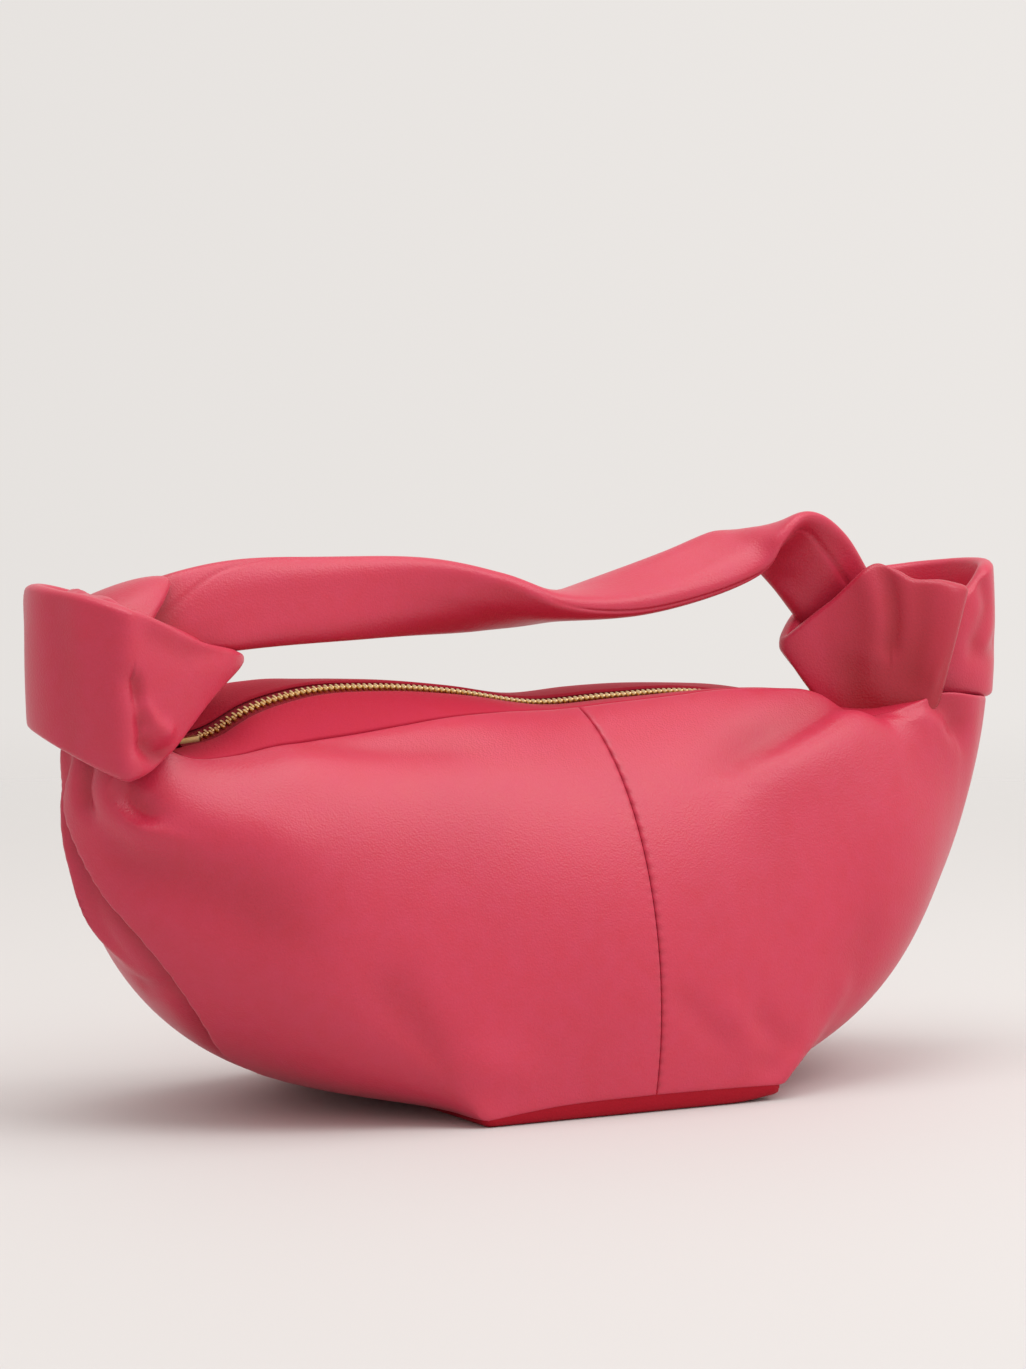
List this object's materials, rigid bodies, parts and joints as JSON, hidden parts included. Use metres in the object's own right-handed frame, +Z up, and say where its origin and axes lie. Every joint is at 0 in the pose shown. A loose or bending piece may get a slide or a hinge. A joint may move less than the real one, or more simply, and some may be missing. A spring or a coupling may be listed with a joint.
{
  "type": "top handle bag",
  "caption": "Soft leather top handle bag with gathered, knotted ends, a twisted strap, a boxed base and a metal zip along the mouth.",
  "frame": {"origin": "on the ground under the middle of the base", "axes": "+X along the bag from the left knot to the right knot, -Y out of the front panel, +Z up"},
  "size_m": [0.372, 0.1448, 0.1926],
  "materials": {
    "leather": "soft satin nappa with a fine grain, raspberry pink",
    "base_leather": "satin leather, a little darker than the body",
    "lining": "matt woven lining",
    "zip_tape": "matt woven tape, deep red",
    "brass": "polished pale gold",
    "board": "grey stiffening board",
    "foam": "soft white filler"
  },
  "bodies": {
    "bag": {"base_panel": "base_leather", "base_board": "board", "lining_base": "lining", "front_panel_right": "leather", "front_panel_left": "leather", "back_panel_right": "leather", "back_panel_left": "leather", "lining_front": "lining", "lining_back": "lining", "inner_pocket": "lining", "zip_facing_front": "leather", "zip_facing_back": "leather", "zip_tape_front": "zip_tape", "zip_tape_back": "zip_tape", "zip_teeth_front": "brass", "zip_teeth_back": "brass", "zip_bottom_stop": "brass", "zip_top_stop_front": "brass", "zip_top_stop_back": "brass", "right_knot_wrap": "leather", "left_knot_wrap": "leather", "right_tail": "leather", "left_tail": "leather"},
    "slider": {"zip_slider": "brass"},
    "pull": {"zip_pull": "brass"},
    "handle": {"handle_strap": "leather", "handle_filler": "foam"}
  },
  "joints": [
    {"name": "zip_slide", "type": "hinge", "parent": "bag", "child": "slider", "pos_m": [0, 0, -0.68668], "axis": [0, -1, 0], "range_deg": [0, 16.6], "deforming": ["zip_teeth_front", "zip_teeth_back"]},
    {"name": "pull_swing", "type": "hinge", "parent": "slider", "child": "pull", "pos_m": [0.11609, 0, 0.13014], "axis": [0, 1, 0], "range_deg": [0, 150]},
    {"name": "handle_swing", "type": "hinge", "parent": "bag", "child": "handle", "pos_m": [0, 0, 0.15], "axis": [1, 0, 0], "range_deg": [-40, 40]}
  ]
}
